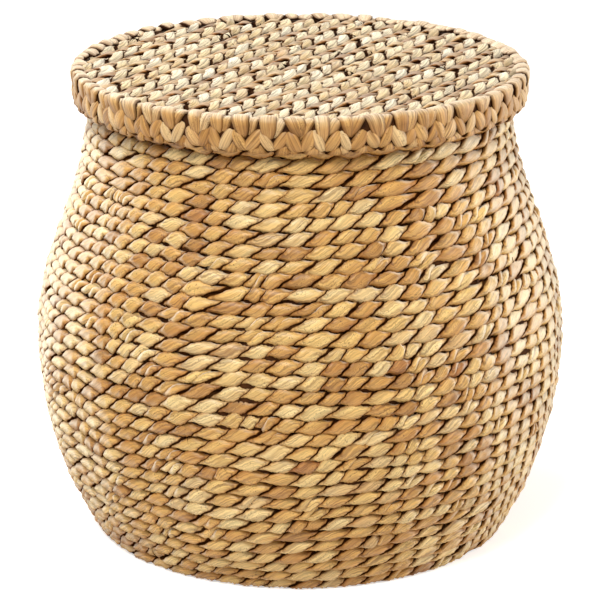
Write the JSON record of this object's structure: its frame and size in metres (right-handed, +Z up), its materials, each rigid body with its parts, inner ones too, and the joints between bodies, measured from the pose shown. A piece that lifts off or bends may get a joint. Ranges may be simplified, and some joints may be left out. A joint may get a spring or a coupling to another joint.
{
  "type": "lidded laundry basket",
  "caption": "Round bellied laundry basket of twined plant fibre over a wire frame, with a flat lift-off lid of straight woven rows and a plaited rim.",
  "frame": {"origin": "on the floor, under the middle of the basket", "axes": "+Z up, -Y towards the viewer of the picture, +X to their right"},
  "size_m": [0.4998, 0.4998, 0.4453],
  "materials": {
    "wall_strand": "matte",
    "base_strand": "matte",
    "border_strand": "matte",
    "lid_strand": "matte",
    "rim_strand": "matte",
    "wire": "satin"
  },
  "bodies": {
    "basket": {"wall_weave": "wall_strand", "base_weave": "base_strand", "mouth_border": "border_strand", "foot_ring": "wire", "mouth_ring": "wire", "rib_01": "wire", "rib_02": "wire", "rib_03": "wire", "rib_04": "wire", "rib_05": "wire", "rib_06": "wire", "rib_07": "wire", "rib_08": "wire", "rib_09": "wire", "rib_10": "wire", "rib_11": "wire", "rib_12": "wire", "rib_13": "wire", "rib_14": "wire", "rib_15": "wire", "rib_16": "wire", "base_bar_01": "wire", "base_bar_02": "wire", "base_bar_03": "wire", "base_bar_04": "wire", "base_bar_05": "wire"},
    "lid": {"lid_weave": "lid_strand", "lid_rim": "rim_strand", "lid_ring": "wire", "skirt_ring": "wire", "lid_bar_01": "wire", "lid_bar_02": "wire", "lid_bar_03": "wire", "lid_bar_04": "wire", "lid_bar_05": "wire", "rim_post_01": "wire", "rim_post_02": "wire", "rim_post_03": "wire", "rim_post_04": "wire", "rim_post_05": "wire", "rim_post_06": "wire", "rim_post_07": "wire", "rim_post_08": "wire"}
  },
  "joints": [
    {"name": "lid_lift", "type": "slide", "parent": "basket", "child": "lid", "axis": [0, 0, 1], "range_m": [0, 0.25]}
  ]
}
